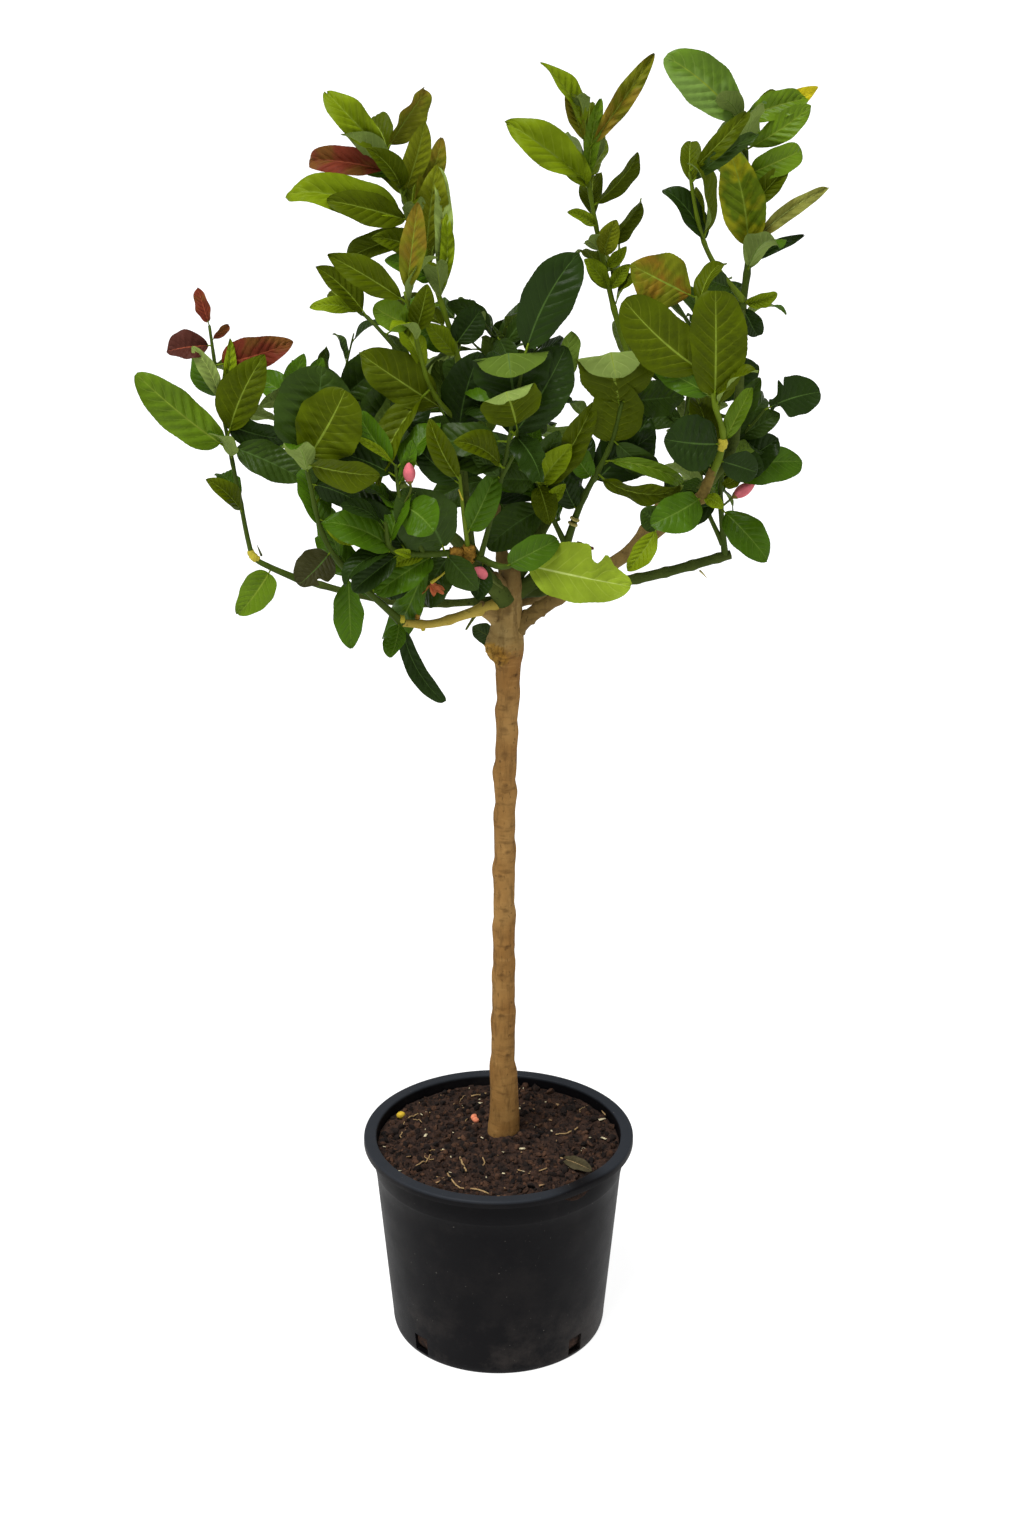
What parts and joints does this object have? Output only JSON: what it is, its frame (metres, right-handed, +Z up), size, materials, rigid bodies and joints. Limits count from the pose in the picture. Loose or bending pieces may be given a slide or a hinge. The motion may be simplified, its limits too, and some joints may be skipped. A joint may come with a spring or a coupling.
{
  "type": "potted citron tree",
  "caption": "Young citron tree grafted on a single straight stem, with an open leafy crown, in a black nursery pot of soil.",
  "frame": {"origin": "middle of the pot's flat underside, on the surface the pot stands on", "axes": "+Z up along the trunk, -Y towards the side the picture was taken from, +X to the right seen from that side"},
  "size_m": [0.631, 0.4068, 1.2888],
  "materials": {
    "pot_plastic": "satin",
    "soil": "matte",
    "trunk_bark": "matte",
    "green_bark": "matte",
    "leaf": "satin"
  },
  "bodies": {
    "root": {"pot": "pot_plastic", "soil": "soil", "trunk": "trunk_bark", "bough_left_low": "green_bark", "bough_left": "green_bark", "bough_front": "green_bark", "bough_tall_left": "green_bark", "bough_centre": "green_bark", "bough_right": "green_bark", "bough_tall_right": "green_bark", "bough_right_low": "green_bark", "bough_tall_centre": "green_bark", "bough_back_right": "green_bark", "bough_back": "green_bark", "bough_back_left": "green_bark", "leaves_left_outer": "leaf", "leaves_left_inner": "leaf", "leaves_tall_left": "leaf", "leaves_centre_left": "leaf", "leaves_centre_front": "leaf", "leaves_centre": "leaf", "leaves_tall_centre": "leaf", "leaves_tall_right": "leaf", "leaves_right_front": "leaf", "leaves_right_low": "leaf", "leaves_back": "leaf", "leaves_back_left": "leaf", "leaves_back_right": "leaf"}
  },
  "joints": []
}
